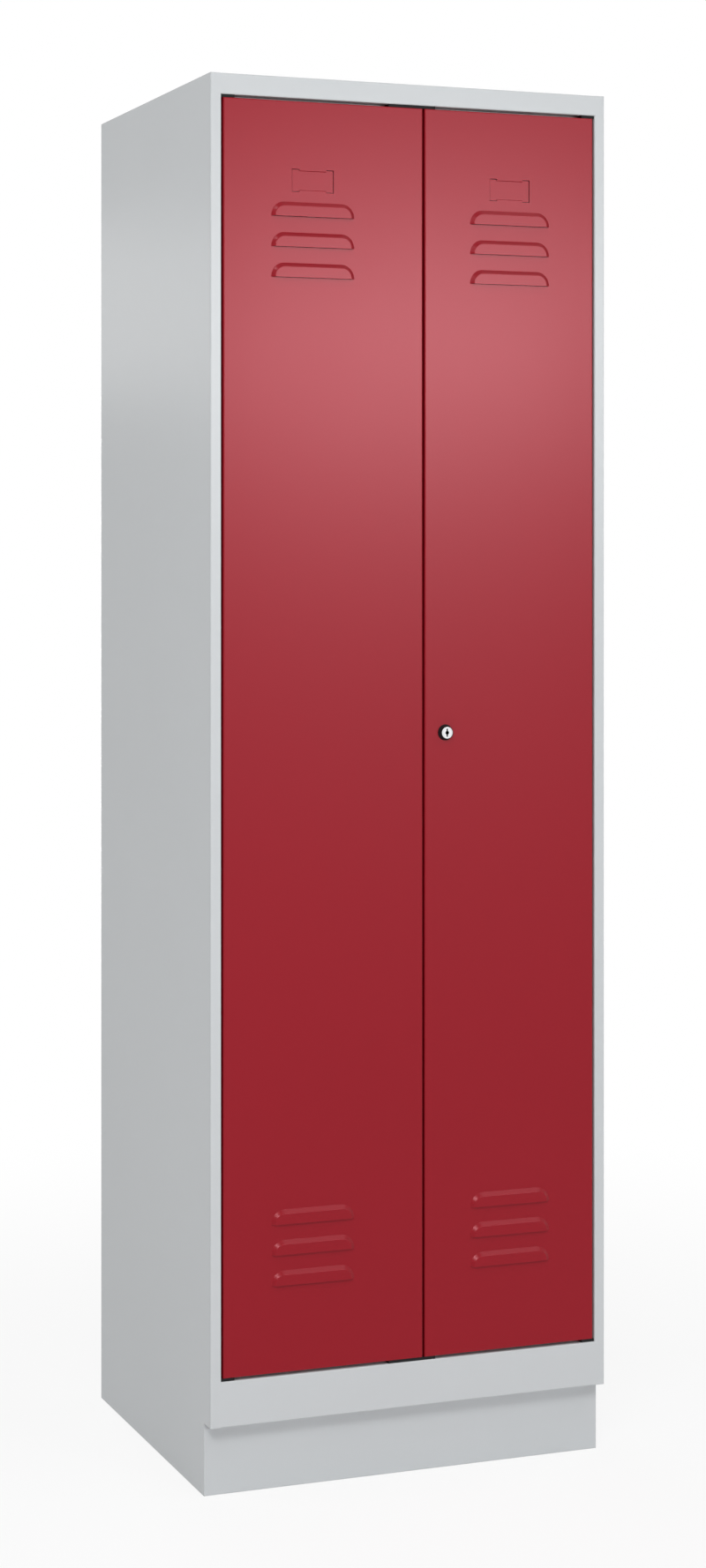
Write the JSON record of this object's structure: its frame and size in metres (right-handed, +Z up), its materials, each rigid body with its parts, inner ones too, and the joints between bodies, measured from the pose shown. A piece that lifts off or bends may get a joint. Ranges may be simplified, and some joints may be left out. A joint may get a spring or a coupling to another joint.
{
  "type": "clothing locker",
  "caption": "Tall free-standing steel clothing locker on a plinth, with hinged louvred doors that meet near the middle, a key lock, hat shelves and clothes rails inside.",
  "frame": {"origin": "on the floor, under the middle of the carcass", "axes": "+X to the right seen from the front, +Y to the back, +Z up"},
  "size_m": [0.6, 0.507, 1.95],
  "materials": {
    "carcass_paint": "light grey satin powder coat",
    "door_paint": "ruby red satin powder coat",
    "black_plastic": "moulded, fine grain",
    "rubber": "matt",
    "chrome": "bright plated",
    "zinc_steel": "zinc plated"
  },
  "bodies": {
    "cabinet": {"left_side_panel": "carcass_paint", "right_side_panel": "carcass_paint", "roof_panel": "carcass_paint", "bottom_rail": "carcass_paint", "floor_panel": "carcass_paint", "back_panel": "carcass_paint", "plinth_front": "carcass_paint", "plinth_rear": "carcass_paint", "centre_post": "carcass_paint", "centre_partition": "carcass_paint", "left_hat_shelf": "carcass_paint", "right_hat_shelf": "carcass_paint", "shelf_brackets": "carcass_paint", "shelf_rivets": "zinc_steel", "left_clothes_rail": "chrome", "right_clothes_rail": "chrome", "rail_sockets": "zinc_steel", "pivot_brackets": "zinc_steel", "left_lower_pivot_block": "black_plastic", "right_lower_pivot_block": "black_plastic", "left_upper_pivot_block": "black_plastic", "right_upper_pivot_block": "black_plastic", "lower_centre_stop": "black_plastic", "upper_centre_stop": "black_plastic", "door_buffers": "rubber"},
    "left_door": {"left_door_panel": "door_paint", "left_door_stiffener": "door_paint", "left_door_pivot_plates": "zinc_steel", "left_lower_pivot_pin": "zinc_steel", "left_upper_pivot_pin": "zinc_steel", "left_door_keeper": "zinc_steel", "keeper_rivets": "zinc_steel"},
    "right_door": {"right_door_panel": "door_paint", "right_door_stiffener": "door_paint", "right_door_pivot_plates": "zinc_steel", "right_lower_pivot_pin": "zinc_steel", "right_upper_pivot_pin": "zinc_steel", "lock_collar": "black_plastic", "lock_barrel": "zinc_steel", "lock_nut": "zinc_steel", "rod_guides": "black_plastic"},
    "lock_cylinder": {"lock_plug": "chrome", "lock_cam": "zinc_steel", "cam_screw": "zinc_steel"},
    "upper_rod": {"upper_lock_rod": "zinc_steel"},
    "lower_rod": {"lower_lock_rod": "zinc_steel"},
    "left_hook_1": {"left_coat_hook_1": "black_plastic"},
    "left_hook_2": {"left_coat_hook_2": "black_plastic"},
    "left_hook_3": {"left_coat_hook_3": "black_plastic"},
    "right_hook_1": {"right_coat_hook_1": "black_plastic"},
    "right_hook_2": {"right_coat_hook_2": "black_plastic"},
    "right_hook_3": {"right_coat_hook_3": "black_plastic"}
  },
  "joints": [
    {"name": "left_door_hinge", "type": "hinge", "parent": "cabinet", "child": "left_door", "pos_m": [-0.2714, -0.243, 0.166], "axis": [0, 0, -1], "range_deg": [0, 110]},
    {"name": "right_door_hinge", "type": "hinge", "parent": "cabinet", "child": "right_door", "pos_m": [0.2714, -0.243, 0.166], "axis": [0, 0, 1], "range_deg": [0, 110]},
    {"name": "lock_turn", "type": "hinge", "parent": "right_door", "child": "lock_cylinder", "pos_m": [0.05, -0.25, 1.04185], "axis": [0, 1, 0], "range_deg": [0, 90]},
    {"name": "upper_rod_slide", "type": "slide", "parent": "right_door", "child": "upper_rod", "axis": [0, 0, 1], "range_m": [0, 0.02828]},
    {"name": "lower_rod_slide", "type": "slide", "parent": "right_door", "child": "lower_rod", "axis": [0, 0, -1], "range_m": [0, 0.0283]},
    {"name": "left_hook_1_slide", "type": "slide", "parent": "cabinet", "child": "left_hook_1", "axis": [1, 0, 0], "range_m": [-0.03, 0.03]},
    {"name": "left_hook_2_slide", "type": "slide", "parent": "cabinet", "child": "left_hook_2", "axis": [1, 0, 0], "range_m": [-0.03, 0.03]},
    {"name": "left_hook_3_slide", "type": "slide", "parent": "cabinet", "child": "left_hook_3", "axis": [1, 0, 0], "range_m": [-0.03, 0.03]},
    {"name": "right_hook_1_slide", "type": "slide", "parent": "cabinet", "child": "right_hook_1", "axis": [1, 0, 0], "range_m": [-0.03, 0.03]},
    {"name": "right_hook_2_slide", "type": "slide", "parent": "cabinet", "child": "right_hook_2", "axis": [1, 0, 0], "range_m": [-0.03, 0.03]},
    {"name": "right_hook_3_slide", "type": "slide", "parent": "cabinet", "child": "right_hook_3", "axis": [1, 0, 0], "range_m": [-0.03, 0.03]}
  ],
  "couplings": [
    {"joint": "lock_turn", "follows": "upper_rod_slide", "rad_per_m": 55.536},
    {"joint": "lower_rod_slide", "follows": "upper_rod_slide", "ratio": 1}
  ]
}
